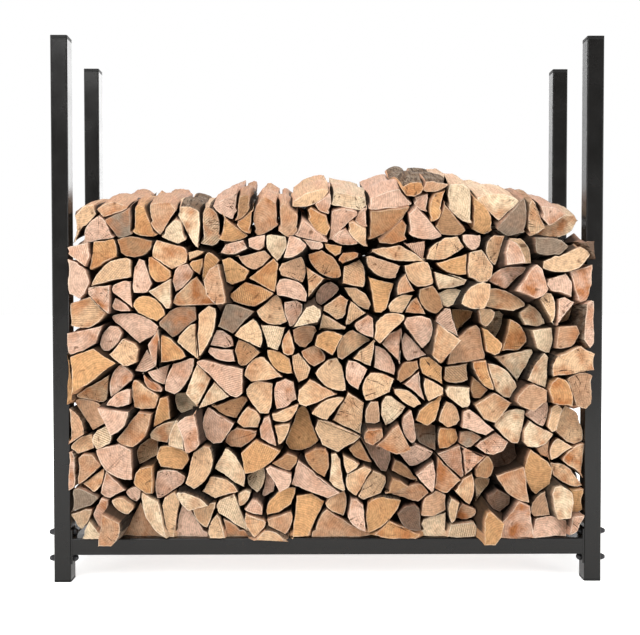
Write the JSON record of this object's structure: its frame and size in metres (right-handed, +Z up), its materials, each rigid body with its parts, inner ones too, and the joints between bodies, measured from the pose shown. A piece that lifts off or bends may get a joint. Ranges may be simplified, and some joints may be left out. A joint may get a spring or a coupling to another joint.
{
  "type": "log store",
  "caption": "Free-standing log store: open rack of square steel tube on four capped posts with low bolted rails, stacked with split logs end on and a loose heap on top.",
  "frame": {"origin": "on the ground at the middle of the rack's width and depth", "axes": "+X from the left posts to the right posts as seen from the front, +Y from the front to the back, +Z up; the front faces -Y"},
  "size_m": [1.2712, 0.438, 1.23],
  "materials": {
    "black_steel": "satin",
    "black_plastic": "matte",
    "black_hardware": "satin",
    "split_logs": "matte"
  },
  "bodies": {
    "root": {"front_left_post": "black_steel", "front_right_post": "black_steel", "back_left_post": "black_steel", "back_right_post": "black_steel", "front_left_cap": "black_plastic", "front_right_cap": "black_plastic", "back_left_cap": "black_plastic", "back_right_cap": "black_plastic", "front_left_foot": "black_plastic", "front_right_foot": "black_plastic", "back_left_foot": "black_plastic", "back_right_foot": "black_plastic", "front_rail": "black_steel", "back_rail": "black_steel", "left_cross_bar": "black_steel", "right_cross_bar": "black_steel", "front_left_plate": "black_steel", "front_right_plate": "black_steel", "back_left_plate": "black_steel", "back_right_plate": "black_steel", "front_left_bolts": "black_hardware", "front_right_bolts": "black_hardware", "back_left_bolts": "black_hardware", "back_right_bolts": "black_hardware", "front_left_washers": "black_hardware", "front_right_washers": "black_hardware", "back_left_washers": "black_hardware", "back_right_washers": "black_hardware", "front_left_nuts": "black_hardware", "front_right_nuts": "black_hardware", "back_left_nuts": "black_hardware", "back_right_nuts": "black_hardware", "log_course_01": "split_logs", "log_course_02": "split_logs", "log_course_03": "split_logs", "log_course_04": "split_logs", "log_course_05": "split_logs", "log_course_06": "split_logs", "log_course_07": "split_logs", "log_course_08": "split_logs", "log_course_09": "split_logs", "log_course_10": "split_logs", "left_heap": "split_logs", "right_heap": "split_logs"}
  },
  "joints": []
}
